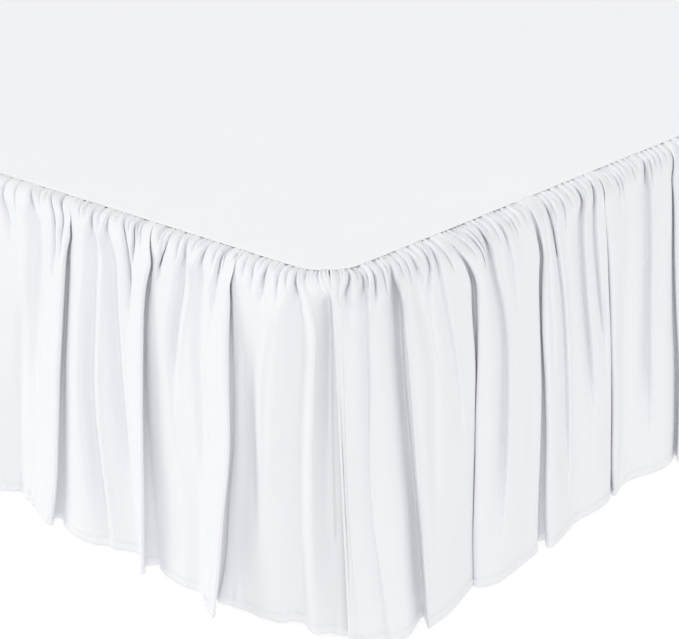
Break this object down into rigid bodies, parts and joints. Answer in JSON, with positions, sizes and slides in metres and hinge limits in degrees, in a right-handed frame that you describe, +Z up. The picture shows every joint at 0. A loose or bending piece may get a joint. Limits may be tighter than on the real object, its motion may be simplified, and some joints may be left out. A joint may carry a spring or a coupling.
{
  "type": "bed skirt on box spring",
  "caption": "Gathered white bed skirt with split corners, its flat deck lying on a plain box spring on turned legs; the folds hang to just above the floor.",
  "frame": {"origin": "centre of the part's bounding box, on the floor it stands on", "axes": "+Z up, +Y from the foot end towards the open head end, +X towards the long side that the picture shows"},
  "size_m": [1.6307, 2.0823, 0.381],
  "materials": {
    "skirt_cloth": "smooth white brushed microfibre",
    "deck_cloth": "smooth white cloth, flat",
    "ticking": "plain pale grey ticking",
    "leg_wood": "dark stained, satin"
  },
  "bodies": {
    "root": {"deck": "deck_cloth", "skirt_foot": "skirt_cloth", "skirt_side_right": "skirt_cloth", "skirt_side_left": "skirt_cloth", "box_spring": "ticking", "leg_1": "leg_wood", "leg_2": "leg_wood", "leg_3": "leg_wood", "leg_4": "leg_wood", "leg_5": "leg_wood", "leg_6": "leg_wood"}
  },
  "joints": []
}
